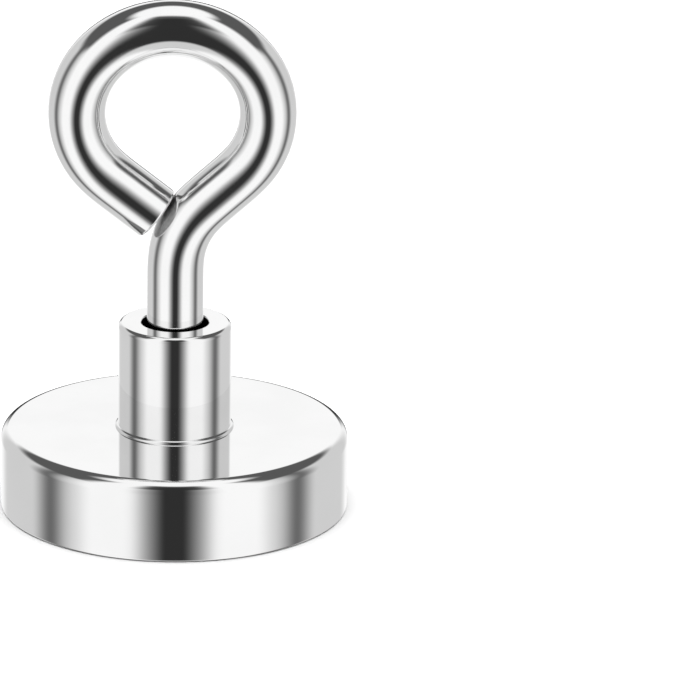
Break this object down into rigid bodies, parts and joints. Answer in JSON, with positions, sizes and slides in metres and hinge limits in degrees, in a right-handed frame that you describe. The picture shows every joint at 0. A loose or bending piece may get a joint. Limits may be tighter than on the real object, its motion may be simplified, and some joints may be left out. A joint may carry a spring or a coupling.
{
  "type": "magnet fishing magnet",
  "caption": "Round plated pot magnet with a threaded bush on its back and an eyebolt for the retrieval rope.",
  "frame": {"origin": "centre of the magnetic face, on the plane of the cup's rim", "axes": "+Z along the bush and shank, away from the magnetic face; the eye lies in the XZ plane, with its free end on the -X side"},
  "size_m": [0.048, 0.048, 0.072],
  "materials": {
    "plated_steel": "bright nickel plate",
    "plated_bush": "bright nickel plate",
    "braze": "plated fillet",
    "magnet_plating": "satin nickel plate",
    "potting_resin": "cast resin",
    "adhesive": "cured glue",
    "eyebolt_steel": "polished and plated",
    "thread_lock": "cured compound"
  },
  "bodies": {
    "pot": {"pot_cup": "plated_steel", "threaded_bush": "plated_bush", "braze_ring": "braze", "disc_magnet": "magnet_plating", "epoxy_ring": "potting_resin", "adhesive_film": "adhesive"},
    "thread_lock": {"thread_lock_ring": "thread_lock"},
    "eyebolt": {"eyebolt": "eyebolt_steel"}
  },
  "joints": [
    {"name": "eyebolt_lift", "type": "slide", "parent": "pot", "child": "thread_lock", "axis": [0, 0, 1], "range_m": [0, 0.01375]},
    {"name": "eyebolt_turn", "type": "hinge", "parent": "thread_lock", "child": "eyebolt", "pos_m": [0, 0, 0.0264], "axis": [0, 0, 1], "range_deg": [0, 3960]}
  ],
  "couplings": [
    {"joint": "eyebolt_lift", "follows": "eyebolt_turn", "m_per_rad": 0.00019894}
  ]
}
